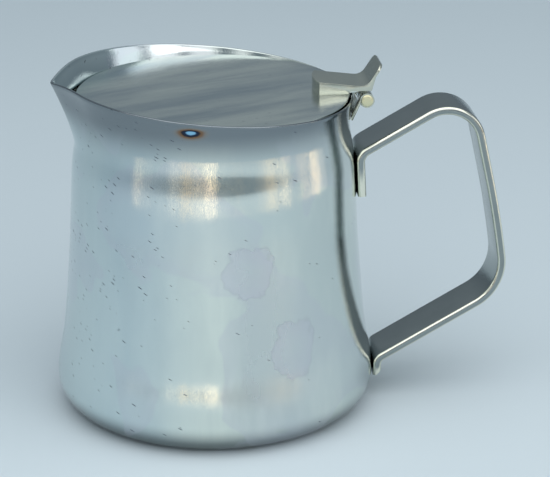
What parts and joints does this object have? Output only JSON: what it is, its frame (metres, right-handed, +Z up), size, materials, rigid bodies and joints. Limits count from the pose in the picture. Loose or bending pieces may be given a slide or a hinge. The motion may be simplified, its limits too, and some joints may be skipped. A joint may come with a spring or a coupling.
{
  "type": "hinged-lid serving jug",
  "caption": "Sheet steel serving jug with a flared rim, a drawn spout, a flat hinged lid with a thumb lever and a bent strap handle.",
  "frame": {"origin": "centre of the flat floor, on the surface that the jug stands on", "axes": "+Z up along the jug's axis, +X from the axis towards the handle and the lid's hinge, -X towards the spout, +Y across"},
  "size_m": [0.1589, 0.112, 0.123],
  "materials": {
    "polished_steel": "mirror polished with faint bands and water marks",
    "strap_steel": "polished with fine lengthwise lines",
    "satin_steel": "satin, brushed across",
    "pin_metal": "plain turned end, slightly yellow"
  },
  "bodies": {
    "jug": {"body_shell": "polished_steel", "handle_strap": "strap_steel", "hinge_leaf": "polished_steel", "hinge_pin": "pin_metal", "lid_rest_front": "satin_steel", "lid_rest_back": "satin_steel"},
    "lid": {"lid_plate": "satin_steel", "thumb_lever": "strap_steel"}
  },
  "joints": [
    {"name": "lid_hinge", "type": "hinge", "parent": "jug", "child": "lid", "pos_m": [0.05253, 0, 0.11052], "axis": [0, 1, 0], "range_deg": [0, 105]}
  ]
}
